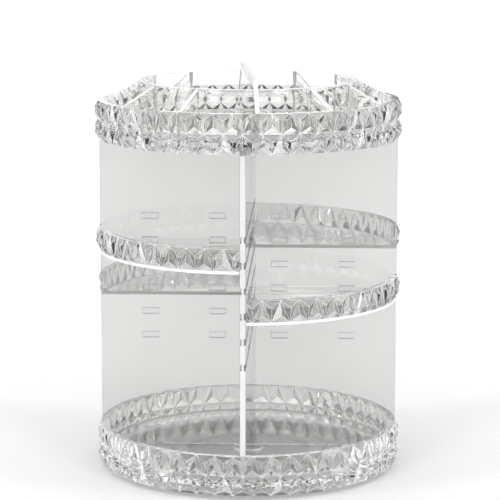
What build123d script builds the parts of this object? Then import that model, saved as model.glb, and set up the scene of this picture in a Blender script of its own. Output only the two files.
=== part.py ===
"""Clear round carousel organizer: turntable foot, faceted trays, crossed dividers and a compartment top."""
import math
import os

from build123d import *

os.makedirs("parts", exist_ok=True)

# Faceted rims: rows of three-sided points on a triangle lattice
facet_count = 52
lattice_radius = 115.0
facet_relief = 2.4
rim_wall = 5.0
facet_row = 14.85
shelf_facet_row = 16.2
shelf_band = 2.2

# Turntable foot
pad_count = 6
pad_radius = 7.0
pad_thickness = 2.0
pad_sink = 0.8
pad_inset = 10.0
foot_radius = 84.0
foot_thickness = 3.2
hub_radius = 14.0

# Ball bearing between the foot and the base tray
ball_count = 24
ball_radius = 1.75
ball_play = 0.05
ball_track_radius = 57.0
race_gap = 1.7
lower_race_width = 16.0
lower_race_thickness = 1.8
upper_race_inner_width = 9.0
upper_race_outer_width = 15.0
upper_race_thickness = 2.9
cage_width = 10.0
cage_thickness = 1.1
cage_play = 0.1

# Screws that hold the upper race
race_screw_count = 4
race_screw_offset = 10.0
race_screw_radius = 1.25
race_screw_bite = 2.0
race_head_radius = 2.6
race_head_height = 1.4
race_head_sink = 0.3
screw_clearance = 0.1
head_clearance = 0.2

# Centre pivot
pivot_screw_radius = 2.0
pivot_screw_bite = 3.8
pivot_head_radius = 3.8
pivot_head_height = 1.4
pivot_bush_radius = 5.0
pivot_play = 0.05
washer_radius = 9.0
washer_thickness = 1.0
washer_play = 0.1
washer_well_radius = 10.0
washer_well_depth = 1.8
boss_radius = 12.0
boss_drop = 2.4
hub_gap = 0.3
blind_end_gap = 0.2

# Base tray, top tray and the tower between them
skirt = 5.0
floor_wall = 4.0
open_height = 222.0
divider_thickness = 4.4
divider_inset = 0.5
divider_seat = 1.4
divider_rim_gap = 0.4
divider_step_gap = 0.3
lap_gap = 0.05

# Shelf trays, and the grooves and pockets that carry them
shelf_first = 90.1
shelf_pitch = 18.75
shelf_level_count = 6
levels_below_upper_count = 4
levels_below_lower_count = 2
shelf_floor = 2.4
shelf_lip = 1.6
shelf_gap = 0.3
groove_rise = 4.0
groove_height = 4.4
groove_depth = 1.2
tab_play = 0.2
tab_reach = 1.0
tab_width = 12.0
tab_first = 24.0
tab_spacing = 52.0
pocket_end_gap = 0.3

# Compartments in the top tray
compartment_count = 12
insert_turn = 5.5
compartment_depth = 27.8
insert_wall = 2.4
bead_wall = 3.4
bead_height = 7.0
ring_rise = 14.4
centre_rise = 21.2
insert_lap_gap = 0.1

# One overrun serves all cuts
overrun = 1.0

# Heights worked out from the sizes above, upwards from the table
foot_low = pad_thickness - pad_sink
foot_top = foot_low + foot_thickness
ball_height = foot_top + race_gap / 2
race_low = foot_top + race_gap
base_floor_low = race_low + upper_race_thickness
base_floor_top = base_floor_low + floor_wall
base_rim_low = base_floor_low - skirt
base_rim_top = base_rim_low + 2 * facet_row
top_rim_low = base_rim_top + open_height
top_rim_top = top_rim_low + 2 * facet_row
top_floor_low = top_rim_low + skirt
top_floor_top = top_floor_low + floor_wall
boss_low = base_floor_low - boss_drop
well_top = foot_low + washer_well_depth
washer_top = well_top - washer_play
washer_low = washer_top - washer_thickness
ring_top = top_rim_top + ring_rise
centre_top = top_rim_top + centre_rise

# Plan sizes worked out from the sizes above
pad_track_radius = foot_radius - pad_inset
upper_race_inner = ball_track_radius - upper_race_inner_width
upper_race_outer = ball_track_radius + upper_race_outer_width
race_screw_track_radius = ball_track_radius + race_screw_offset
rim_inner = lattice_radius - rim_wall
outer_reach = lattice_radius + facet_relief + overrun
divider_reach = lattice_radius - divider_inset
divider_half = divider_thickness / 2
shelf_edge = divider_half + shelf_gap
ring_radius = rim_inner - compartment_depth
ring_outer = ring_radius + insert_wall / 2
ring_bead_outer = ring_radius + bead_wall / 2
shelf_levels = [base_rim_low + shelf_first + step * shelf_pitch for step in range(shelf_level_count)]

FROM_BELOW = (Align.CENTER, Align.CENTER, Align.MIN)
FROM_CORNER = (Align.MIN, Align.MIN, Align.MIN)


def lattice_ring(height, half_step):
    """Lattice corners at one height; on a whole step one corner stands on the front centre line."""
    turn = 2 * math.pi / facet_count
    start = -math.pi / 2 + turn * half_step / 2
    bearings = [start + turn * k for k in range(facet_count)]
    return [Vector(lattice_radius * math.cos(b), lattice_radius * math.sin(b), height) for b in bearings]


def flat_face(*corners):
    """A plane face through the corners in order."""
    return Face(Wire.make_polygon(corners, close=True))


def facet_point(a, b, c):
    """Three faces that rise from one lattice triangle to the point over its middle."""
    middle = (a + b + c) / 3
    bearing = math.atan2(middle.Y, middle.X)
    reach = lattice_radius + facet_relief
    point = Vector(reach * math.cos(bearing), reach * math.sin(bearing), middle.Z)
    return [flat_face(a, b, point), flat_face(b, c, point), flat_face(c, a, point)]


def facet_band(lower, upper, lower_half):
    """One row of points between two lattice rings that lie half a step apart."""
    faces = []
    for k in range(facet_count):
        after = (k + 1) % facet_count
        if lower_half:
            faces += facet_point(lower[k - 1], lower[k], upper[k])
            faces += facet_point(upper[after], upper[k], lower[k])
        else:
            faces += facet_point(lower[k], lower[after], upper[k])
            faces += facet_point(upper[k], upper[k - 1], lower[k])
    return faces


def two_row_drum(low):
    """Solid drum with two rows of facets, as tall as the round trays' rims."""
    bottom = lattice_ring(low, True)
    middle = lattice_ring(low + facet_row, False)
    top = lattice_ring(low + 2 * facet_row, True)
    faces = facet_band(bottom, middle, True) + facet_band(middle, top, False)
    faces += [flat_face(*bottom), flat_face(*top)]
    return Solid(Shell(faces))


def one_row_drum(low):
    """Solid drum with a plain band below one row of facets, as tall as the shelf trays' rims."""
    bottom = lattice_ring(low, True)
    middle = lattice_ring(low + shelf_band, True)
    top = lattice_ring(low + shelf_band + shelf_facet_row, False)
    faces = facet_band(middle, top, True)
    faces += [flat_face(bottom[k - 1], bottom[k], middle[k], middle[k - 1]) for k in range(facet_count)]
    faces += [flat_face(*bottom), flat_face(*top)]
    return Solid(Shell(faces))


# Rubber pads under the foot
with BuildPart() as anti_slip_pads:
    with PolarLocations(pad_track_radius, pad_count):
        Cylinder(pad_radius, pad_thickness, align=FROM_BELOW)

# Foot disc with pockets for the pads and the lower race, and a hub for the pivot
with BuildPart() as foot_plate:
    with Locations((0, 0, foot_low)):
        Cylinder(foot_radius, foot_thickness, align=FROM_BELOW)
    with Locations((0, 0, foot_low)):
        Cylinder(hub_radius, boss_low - hub_gap - foot_low, align=FROM_BELOW)
    with PolarLocations(pad_track_radius, pad_count):
        Cylinder(pad_radius, pad_thickness, align=FROM_BELOW, mode=Mode.SUBTRACT)
    with BuildSketch(Plane.XY.offset(foot_top - lower_race_thickness)):
        Circle(ball_track_radius + lower_race_width / 2)
        Circle(ball_track_radius - lower_race_width / 2, mode=Mode.SUBTRACT)
    extrude(amount=lower_race_thickness + overrun, mode=Mode.SUBTRACT)
    Cylinder(pivot_bush_radius + pivot_play, boss_low, align=FROM_BELOW, mode=Mode.SUBTRACT)
    Cylinder(washer_well_radius, well_top, align=FROM_BELOW, mode=Mode.SUBTRACT)

# Lower race, let into the foot
with BuildPart() as lower_race:
    with BuildSketch(Plane.XY.offset(foot_top - lower_race_thickness)):
        Circle(ball_track_radius + lower_race_width / 2)
        Circle(ball_track_radius - lower_race_width / 2, mode=Mode.SUBTRACT)
    extrude(amount=lower_race_thickness)
    with Locations((0, 0, ball_height)):
        Torus(ball_track_radius, ball_radius + ball_play, mode=Mode.SUBTRACT)

# Steel balls
with BuildPart() as bearing_balls:
    with Locations((0, 0, ball_height)):
        with PolarLocations(ball_track_radius, ball_count):
            Sphere(ball_radius)

# Cage that keeps the balls apart
with BuildPart() as ball_cage:
    with BuildSketch(Plane.XY.offset(ball_height - cage_thickness / 2)):
        Circle(ball_track_radius + cage_width / 2)
        Circle(ball_track_radius - cage_width / 2, mode=Mode.SUBTRACT)
        with PolarLocations(ball_track_radius, ball_count):
            Circle(ball_radius + cage_play, mode=Mode.SUBTRACT)
    extrude(amount=cage_thickness)

# Upper race, screwed under the base tray
with BuildPart() as upper_race:
    with BuildSketch(Plane.XY.offset(race_low)):
        Circle(upper_race_outer)
        Circle(upper_race_inner, mode=Mode.SUBTRACT)
        with PolarLocations(race_screw_track_radius, race_screw_count, start_angle=45):
            Circle(race_screw_radius + screw_clearance, mode=Mode.SUBTRACT)
    extrude(amount=upper_race_thickness)
    with Locations((0, 0, ball_height)):
        Torus(ball_track_radius, ball_radius + ball_play, mode=Mode.SUBTRACT)
    with Locations((0, 0, race_low)):
        with PolarLocations(race_screw_track_radius, race_screw_count, start_angle=45):
            Cylinder(race_head_radius + head_clearance, race_head_sink + race_head_height,
                     align=FROM_BELOW, mode=Mode.SUBTRACT)

# Pan-head screws of the upper race
race_screw_seat = race_low + race_head_sink + race_head_height
race_screw_tip = base_floor_low + race_screw_bite
with BuildPart() as race_screws:
    with Locations((0, 0, race_low + race_head_sink)):
        with PolarLocations(race_screw_track_radius, race_screw_count, start_angle=45):
            Cylinder(race_head_radius, race_head_height, align=FROM_BELOW)
    with Locations((0, 0, race_screw_seat)):
        with PolarLocations(race_screw_track_radius, race_screw_count, start_angle=45):
            Cylinder(race_screw_radius, race_screw_tip - race_screw_seat, align=FROM_BELOW)

# Bush that turns in the foot's hub
with BuildPart() as pivot_bush:
    with BuildSketch(Plane.XY.offset(washer_top)):
        Circle(pivot_bush_radius)
        Circle(pivot_screw_radius + screw_clearance, mode=Mode.SUBTRACT)
    extrude(amount=boss_low - washer_top)

# Washer that keeps the foot from dropping off
with BuildPart() as pivot_washer:
    with BuildSketch(Plane.XY.offset(washer_low)):
        Circle(washer_radius)
        Circle(pivot_screw_radius + screw_clearance, mode=Mode.SUBTRACT)
    extrude(amount=washer_thickness)

# Pivot screw, up into the base tray's boss
with BuildPart() as pivot_screw:
    with Locations((0, 0, washer_low - pivot_head_height)):
        Cylinder(pivot_head_radius, pivot_head_height, align=FROM_BELOW)
    with Locations((0, 0, washer_low)):
        Cylinder(pivot_screw_radius, boss_low + pivot_screw_bite - washer_low, align=FROM_BELOW)

# Base tray: faceted rim, floor with a cross groove, boss and screw holes underneath
with BuildPart() as base_tray:
    add(two_row_drum(base_rim_low))
    with Locations((0, 0, base_floor_top)):
        Cylinder(rim_inner, base_rim_top - base_floor_top + overrun, align=FROM_BELOW, mode=Mode.SUBTRACT)
    with BuildSketch(Plane.XY.offset(base_floor_low)):
        Circle(rim_inner)
        Circle(boss_radius, mode=Mode.SUBTRACT)
    extrude(amount=-(skirt + overrun), mode=Mode.SUBTRACT)
    with BuildSketch(Plane.XY.offset(boss_low)):
        Circle(boss_radius)
    extrude(amount=-(skirt - boss_drop + overrun), mode=Mode.SUBTRACT)
    with BuildSketch(Plane.XY.offset(base_floor_top - divider_seat)):
        Rectangle(2 * rim_inner, divider_thickness + 2 * lap_gap)
        Rectangle(divider_thickness + 2 * lap_gap, 2 * rim_inner)
        Circle(rim_inner, mode=Mode.INTERSECT)
    extrude(amount=divider_seat + overrun, mode=Mode.SUBTRACT)
    with Locations((0, 0, base_floor_low)):
        with PolarLocations(race_screw_track_radius, race_screw_count, start_angle=45):
            Cylinder(race_screw_radius, race_screw_bite + blind_end_gap, align=FROM_BELOW, mode=Mode.SUBTRACT)
    with Locations((0, 0, boss_low)):
        Cylinder(pivot_screw_radius, pivot_screw_bite + blind_end_gap, align=FROM_BELOW, mode=Mode.SUBTRACT)

# Both dividers have one outline: narrow inside the rims, full width between them
divider_low = base_floor_top - divider_seat
divider_top = top_floor_low
divider_middle = (divider_low + divider_top) / 2
divider_narrow = rim_inner - divider_rim_gap
step_low = base_rim_top + divider_step_gap
step_high = top_rim_low - divider_step_gap
divider_outline = [
    (-divider_narrow, divider_low), (divider_narrow, divider_low),
    (divider_narrow, step_low), (divider_reach, step_low),
    (divider_reach, step_high), (divider_narrow, step_high),
    (divider_narrow, divider_top), (-divider_narrow, divider_top),
    (-divider_narrow, step_high), (-divider_reach, step_high),
    (-divider_reach, step_low), (-divider_narrow, step_low),
]
lap_width = divider_thickness + 2 * lap_gap
groove_middles = [level + groove_rise + groove_height / 2 for level in shelf_levels]
tab_places = [tab_first, tab_first + tab_spacing]

# Front to rear divider, slotted from above at the middle, with long grooves for the shelves' tabs
with BuildPart() as front_rear_divider:
    with BuildSketch(Plane.YZ):
        with BuildLine():
            Polyline(*divider_outline, close=True)
        make_face()
    extrude(amount=divider_half, both=True)
    with Locations((0, 0, divider_middle)):
        Box(2 * divider_thickness, lap_width, divider_top - divider_middle + overrun,
            align=FROM_BELOW, mode=Mode.SUBTRACT)
    with BuildSketch(Plane.XZ):
        with Locations(*[(side * divider_half, z) for z in groove_middles for side in (-1, 1)]):
            Rectangle(2 * groove_depth, groove_height)
    extrude(amount=divider_reach + overrun, both=True, mode=Mode.SUBTRACT)

# Left to right divider, slotted from below at the middle, with short pockets for the shelves' tabs
with BuildPart() as left_right_divider:
    with BuildSketch(Plane.XZ):
        with BuildLine():
            Polyline(*divider_outline, close=True)
        make_face()
    extrude(amount=divider_half, both=True)
    with Locations((0, 0, divider_low - overrun)):
        Box(lap_width, 2 * divider_thickness, divider_middle - divider_low + overrun,
            align=FROM_BELOW, mode=Mode.SUBTRACT)
    with Locations(*[(side * x, face * divider_half, z) for z in groove_middles for x in tab_places
                     for side in (-1, 1) for face in (-1, 1)]):
        Box(tab_width + 2 * pocket_end_gap, 2 * groove_depth, groove_height, mode=Mode.SUBTRACT)


def quarter_shelf(level, turn):
    """Quarter tray with two tabs a side; turn 0 is the corner of the cross between +X and +Y."""
    rim_top = level + shelf_band + shelf_facet_row
    tab_low = level + groove_rise
    lip_top = tab_low + groove_height - tab_play
    tab_length = shelf_gap + tab_reach
    with BuildPart() as shelf:
        add(one_row_drum(level))
        with Locations((shelf_edge, shelf_edge, level - overrun)):
            Box(outer_reach, outer_reach, rim_top - level + 2 * overrun,
                align=FROM_CORNER, mode=Mode.INTERSECT)
        with BuildSketch(Plane.XY.offset(level + shelf_floor)):
            Circle(rim_inner)
            with Locations((shelf_edge + shelf_lip, shelf_edge + shelf_lip)):
                Rectangle(rim_inner, rim_inner, align=(Align.MIN, Align.MIN), mode=Mode.INTERSECT)
        extrude(amount=lip_top - level - shelf_floor, mode=Mode.SUBTRACT)
        with Locations((0, 0, lip_top)):
            Cylinder(rim_inner, rim_top - lip_top + overrun, align=FROM_BELOW, mode=Mode.SUBTRACT)
        with Locations(*[(shelf_edge, place, tab_low) for place in tab_places]):
            Box(tab_length, tab_width, lip_top - tab_low, align=(Align.MAX, Align.CENTER, Align.MIN))
        with Locations(*[(place, shelf_edge, tab_low) for place in tab_places]):
            Box(tab_width, tab_length, lip_top - tab_low, align=(Align.CENTER, Align.MAX, Align.MIN))
    return shelf.part.rotate(Axis.Z, turn)


upper_level = shelf_levels[levels_below_upper_count]
lower_level = shelf_levels[levels_below_lower_count]

with BuildPart() as shelf_rear_right:
    add(quarter_shelf(upper_level, 0))

with BuildPart() as shelf_rear_left:
    add(quarter_shelf(lower_level, 90))

with BuildPart() as shelf_front_left:
    add(quarter_shelf(upper_level, 180))

with BuildPart() as shelf_front_right:
    add(quarter_shelf(lower_level, 270))

# Top tray: the skirt drops over the dividers' upper corners
with BuildPart() as top_tray:
    add(two_row_drum(top_rim_low))
    with Locations((0, 0, top_floor_top)):
        Cylinder(rim_inner, top_rim_top - top_floor_top + overrun, align=FROM_BELOW, mode=Mode.SUBTRACT)
    with Locations((0, 0, top_rim_low - overrun)):
        Cylinder(rim_inner, skirt + overrun, align=FROM_BELOW, mode=Mode.SUBTRACT)

# The compartments stand on the top tray's floor; their lap joints meet half way up the ring
insert_lap = (top_floor_top + ring_top) / 2
centre_plane = Plane(
    origin=(0, 0, 0),
    x_dir=Vector(0, -1, 0).rotate(Axis.Z, insert_turn),
    z_dir=Vector(-1, 0, 0).rotate(Axis.Z, insert_turn),
)

# Ring wall with a thicker bead round its top, notched for the centre wall
with BuildPart() as ring_wall:
    with BuildSketch(Plane.XY.offset(top_floor_top)):
        Circle(ring_outer)
        Circle(ring_outer - insert_wall, mode=Mode.SUBTRACT)
    extrude(amount=ring_top - top_floor_top)
    with BuildSketch(Plane.XY.offset(ring_top - bead_height)):
        Circle(ring_bead_outer)
        Circle(ring_bead_outer - bead_wall, mode=Mode.SUBTRACT)
    extrude(amount=bead_height)
    with BuildSketch(centre_plane):
        with Locations((0, insert_lap)):
            Rectangle(2 * rim_inner, ring_top - insert_lap + overrun, align=(Align.CENTER, Align.MIN))
    extrude(amount=bead_wall / 2 + insert_lap_gap, both=True, mode=Mode.SUBTRACT)

# Fins and centre wall are drawn a little past the rim, then trimmed to its round inside
wall_end = rim_inner + overrun
fin_end = top_rim_top - overrun * ring_rise / compartment_depth
centre_end = top_rim_top - overrun * centre_rise / compartment_depth

# One fin from the ring to the rim: a thin wall with the bead along its sloping top
with BuildPart() as fin:
    with BuildSketch(centre_plane):
        with BuildLine():
            Polyline((ring_radius, top_floor_top), (wall_end, top_floor_top), (wall_end, fin_end),
                     (ring_radius, ring_top), close=True)
        make_face()
    extrude(amount=insert_wall / 2, both=True)
    with BuildSketch(centre_plane):
        with BuildLine():
            Polyline((ring_radius, ring_top - bead_height), (wall_end, fin_end - bead_height),
                     (wall_end, fin_end), (ring_radius, ring_top), close=True)
        make_face()
    extrude(amount=bead_wall / 2, both=True)
    with Locations((0, 0, top_floor_top)):
        Cylinder(rim_inner, ring_top - top_floor_top, align=FROM_BELOW, mode=Mode.INTERSECT)
    with Locations((0, 0, top_floor_top)):
        Cylinder(ring_outer, ring_top - top_floor_top, align=FROM_BELOW, mode=Mode.SUBTRACT)
    with Locations((0, 0, ring_top - bead_height)):
        Cylinder(ring_bead_outer, bead_height, align=FROM_BELOW, mode=Mode.SUBTRACT)

# The fins stand all round but where the centre wall's two ends are
fin_step = 360 / compartment_count
fin_turns = [fin_step * k for k in range(compartment_count) if k % (compartment_count // 2)]
with BuildPart() as radial_fins:
    with Locations(*[Location((0, 0, 0), (0, 0, turn)) for turn in fin_turns]):
        add(fin.part)

# Centre wall from rim to rim, highest inside the ring, notched from below to straddle it
with BuildPart() as centre_wall:
    with BuildSketch(centre_plane):
        with BuildLine():
            Polyline((-wall_end, top_floor_top), (wall_end, top_floor_top), (wall_end, centre_end),
                     (ring_radius, centre_top), (-ring_radius, centre_top),
                     (-wall_end, centre_end), close=True)
        make_face()
    extrude(amount=insert_wall / 2, both=True)
    with BuildSketch(centre_plane):
        with BuildLine():
            Polyline((-wall_end, centre_end - bead_height), (-ring_radius, centre_top - bead_height),
                     (ring_radius, centre_top - bead_height), (wall_end, centre_end - bead_height),
                     (wall_end, centre_end), (ring_radius, centre_top), (-ring_radius, centre_top),
                     (-wall_end, centre_end), close=True)
        make_face()
    extrude(amount=bead_wall / 2, both=True)
    with Locations((0, 0, top_floor_top)):
        Cylinder(rim_inner, centre_top - top_floor_top, align=FROM_BELOW, mode=Mode.INTERSECT)
    with BuildSketch(centre_plane):
        with Locations((-ring_radius, top_floor_top), (ring_radius, top_floor_top)):
            Rectangle(insert_wall + 2 * insert_lap_gap, 2 * (insert_lap - top_floor_top))
    extrude(amount=bead_wall, both=True, mode=Mode.SUBTRACT)

pieces = {
    "anti_slip_pads": anti_slip_pads,
    "foot_plate": foot_plate,
    "lower_race": lower_race,
    "bearing_balls": bearing_balls,
    "ball_cage": ball_cage,
    "upper_race": upper_race,
    "race_screws": race_screws,
    "pivot_bush": pivot_bush,
    "pivot_washer": pivot_washer,
    "pivot_screw": pivot_screw,
    "base_tray": base_tray,
    "front_rear_divider": front_rear_divider,
    "left_right_divider": left_right_divider,
    "shelf_front_left": shelf_front_left,
    "shelf_front_right": shelf_front_right,
    "shelf_rear_left": shelf_rear_left,
    "shelf_rear_right": shelf_rear_right,
    "top_tray": top_tray,
    "ring_wall": ring_wall,
    "radial_fins": radial_fins,
    "centre_wall": centre_wall,
}
for name, piece in pieces.items():
    piece.part.label = name
    export_step(piece.part, f"parts/{name}.step")
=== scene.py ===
"""Looks of the clear round carousel organizer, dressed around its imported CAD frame."""
import math

import bmesh
import bpy
import numpy as np
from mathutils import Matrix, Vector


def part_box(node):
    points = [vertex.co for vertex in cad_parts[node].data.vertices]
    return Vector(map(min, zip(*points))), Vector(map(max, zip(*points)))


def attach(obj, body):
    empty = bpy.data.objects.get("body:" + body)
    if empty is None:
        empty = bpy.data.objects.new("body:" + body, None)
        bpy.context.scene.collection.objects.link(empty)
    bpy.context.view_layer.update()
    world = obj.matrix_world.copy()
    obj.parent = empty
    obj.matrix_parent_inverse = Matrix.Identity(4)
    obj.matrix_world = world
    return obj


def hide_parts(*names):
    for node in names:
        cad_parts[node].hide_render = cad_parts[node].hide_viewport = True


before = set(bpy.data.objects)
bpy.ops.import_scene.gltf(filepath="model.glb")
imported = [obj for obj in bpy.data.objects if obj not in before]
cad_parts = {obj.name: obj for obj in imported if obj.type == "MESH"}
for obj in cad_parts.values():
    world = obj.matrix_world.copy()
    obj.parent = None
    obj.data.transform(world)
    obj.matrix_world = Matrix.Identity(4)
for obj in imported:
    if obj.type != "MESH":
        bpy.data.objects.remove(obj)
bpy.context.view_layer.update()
scene = bpy.context.scene

MM = 0.001
FULL_TURN = 2 * math.pi
# Finish numbers. BRIGHT is white frosted: on the moulded pieces a painted highlight on edges, joints, bead
# tops and bands; on the sheets their cut ends. FACETED is the facets' acrylic, darkened as painted shade.
CLEAR, BRIGHT, FACETED = 0, 1, 2


def heights_of(node):
    """Lowest and highest point of a CAD node."""
    return [corner.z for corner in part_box(node)]


def reach_of(node):
    """How far a CAD node reaches from the axis towards +X."""
    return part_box(node)[1].x


def spaced(count, start=0.0):
    """Bearings from start that divide a full turn evenly."""
    return start + np.arange(count) * FULL_TURN / count


# Pieces that rest on one another are kept this far apart, so that light sees both faces
contact = 0.03 * MM
# Points of one piece that lie closer than this become one
merge_distance = 0.004 * MM
# Steps in which a softened corner of an outline bends
corner_steps = 4

# The facet lattice of the rims
facet_count = 52
facet_step = FULL_TURN / facet_count
columns_per_facet = 4
round_count = facet_count * columns_per_facet
round_bearing = spaced(round_count)
facet_relief = 2.4 * MM
facet_round = 0.1 * MM
tip_radius = reach_of("base_tray")
lattice_radius = tip_radius - facet_relief
rim_wall = 5.0 * MM
rim_inner = lattice_radius - rim_wall

# Trays: skirt below the floor, the floor itself, and a white frosted band where it meets the wall, a painted
# highlight line
base_low, base_high = heights_of("base_tray")
top_low, top_high = heights_of("top_tray")
skirt = 5.0 * MM
floor_wall = 4.0 * MM
base_floor_low = base_low + skirt
base_floor_top = base_floor_low + floor_wall
top_floor_low = top_low + skirt
top_floor_top = top_floor_low + floor_wall
painted_highlight_band = 0.9 * MM

# Pivot boss under the base tray's floor, and the dividers' seat in its top
boss_radius = 12.0 * MM
boss_depth = 2.4 * MM
boss_low = base_floor_low - boss_depth
seat_half = 2.25 * MM
seat_depth = 1.4 * MM
seat_floor = base_floor_top - seat_depth

# Quarter shelves
shelf_edge = 2.5 * MM
shelf_band = 2.2 * MM
shelf_facet_row = 16.2 * MM
shelf_floor = 2.4 * MM
lip_width = 1.6 * MM
lip_height = 8.2 * MM
tab_rise = 4.0 * MM
tab_half = 6.0 * MM
tab_length = 1.3 * MM
tab_places = np.array([24.0, 76.0]) * MM

# Six levels at which a shelf can hang
level_count = 6
lowest_level = base_low + 90.1 * MM
level_pitch = 18.75 * MM
shelf_levels = lowest_level + np.arange(level_count) * level_pitch

# Crossed dividers, with grooves and pockets for the shelves' tabs
divider_half = 2.2 * MM
divider_reach = 114.5 * MM
divider_narrow = 109.6 * MM
divider_low = seat_floor + contact
divider_top = top_floor_low - contact
divider_middle = (seat_floor + top_floor_low) / 2
divider_round = 0.25 * MM
step_gap = 0.3 * MM
step_low = base_high + step_gap
step_high = top_low - step_gap
lap_half = 2.25 * MM
groove_depth = 1.2 * MM
groove_height = 4.4 * MM
groove_lows = shelf_levels + tab_rise
groove_highs = groove_lows + groove_height
pocket_half = 6.3 * MM

# Compartments of the top tray
insert_bearing = math.radians(5.5)
compartment_count = 12
insert_half = 1.2 * MM
insert_low = top_floor_top + contact
bead_half = 1.7 * MM
bead_height = 7.0 * MM
bead_round = 0.5 * MM
ring_radius = 82.2 * MM
ring_high = heights_of("ring_wall")[1]
centre_high = heights_of("centre_wall")[1]
insert_lap = (top_floor_top + ring_high) / 2
insert_lap_gap = 0.1 * MM
compartment_depth = rim_inner - ring_radius

# Foot and its pads
foot_columns = 96
foot_bearing = spaced(foot_columns)
foot_crease = 45.0
foot_soft = 0.3 * MM
foot_radius = reach_of("foot_plate")
foot_low, hub_top = heights_of("foot_plate")
foot_field = 64.0 * MM
hub_radius = 14.0 * MM
pivot_bore = 5.05 * MM
washer_well_radius = 10.0 * MM
washer_well_depth = 1.8 * MM
washer_well_top = foot_low + washer_well_depth
pad_count = 6
pad_start = math.pi / 6
pad_radius = 7.0 * MM
pad_inset = 10.0 * MM
pad_track = foot_radius - pad_inset
pad_sink = 0.8 * MM
tread_depth = 0.4 * MM
tread_edges = np.array([5.6, 5.3, 4.4, 4.1, 2.8, 2.5, 1.6, 1.3]) * MM
pad_top_soft, pad_foot_soft, tread_soft = 0.1 * MM, 0.6 * MM, 0.12 * MM

# Ball bearing
ball_count = 24
ball_radius = 1.75 * MM
ball_rows = 13
ball_track = 57.0 * MM
ball_height = sum(heights_of("bearing_balls")) / 2
race_groove = 1.8 * MM
groove_points = 9
lower_race_inner, lower_race_outer = 49.0 * MM, 65.0 * MM
lower_race_low, foot_top = heights_of("lower_race")
upper_race_inner = 48.0 * MM
upper_race_outer = reach_of("upper_race")
upper_race_low, upper_race_high = heights_of("upper_race")
upper_race_field = 61.0 * MM
cage_inner, cage_outer = 52.0 * MM, 62.0 * MM
cage_hole = 1.85 * MM

# Screws and the rings on the pivot
race_screw_count = 4
race_screw_start = math.pi / 4
race_screw_track = 67.0 * MM
race_screw_sink = 1.7 * MM
race_screw_seat = upper_race_low + race_screw_sink
race_screw_head, race_screw_shank = 2.6 * MM, 1.25 * MM
head_bore, shank_bore = 2.8 * MM, 1.35 * MM
pivot_screw_head, pivot_screw_shank = 3.8 * MM, 2.0 * MM
pivot_ring_bore = 2.1 * MM
pivot_ring_soft = 0.2 * MM


def quads(rows, columns, closed_rows=False, closed_columns=False):
    """Faces of a grid of points stored row by row, joined round on the sides that are closed."""
    row = np.arange(rows if closed_rows else rows - 1)[:, None] * columns
    column = np.arange(columns if closed_columns else columns - 1)[None, :]
    next_row = (row + columns) % (rows * columns)
    next_column = (column + 1) % columns
    corners = [row + column, row + next_column, next_row + next_column, next_row + column]
    return np.stack(corners, -1).reshape(-1, 4)


def polar(radius, bearing, height):
    """Points from radius, bearing from the front towards +X, and height, spread over one another."""
    radius, bearing, height = np.broadcast_arrays(radius, bearing, height)
    return np.stack([radius * np.sin(bearing), -radius * np.cos(bearing), height], -1)


def track_places(track, count, start=0.0):
    """Places spaced evenly on a round track, as x and y."""
    return polar(track, spaced(count, start), 0)[:, :2]


def at_height(points, height):
    """The points moved straight up or down to one height."""
    return points * [1, 1, 0] + [0, 0, height]


def softened(outline, soft):
    """A closed outline whose corners become parabolas that start and end that far from the corner."""
    outline = np.asarray(outline, float)
    soft = np.broadcast_to(soft, len(outline))[:, None, None]
    u = np.linspace(0, 1, corner_steps + 1)[None, :, None]
    before, after = (np.roll(outline, shift, 0) - outline for shift in (1, -1))
    before, after = (side / np.linalg.norm(side, axis=1, keepdims=True) for side in (before, after))
    bend = before[:, None] * (1 - u) ** 2 + after[:, None] * u ** 2
    return (outline[:, None] + soft * bend).reshape(-1, 2)


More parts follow.
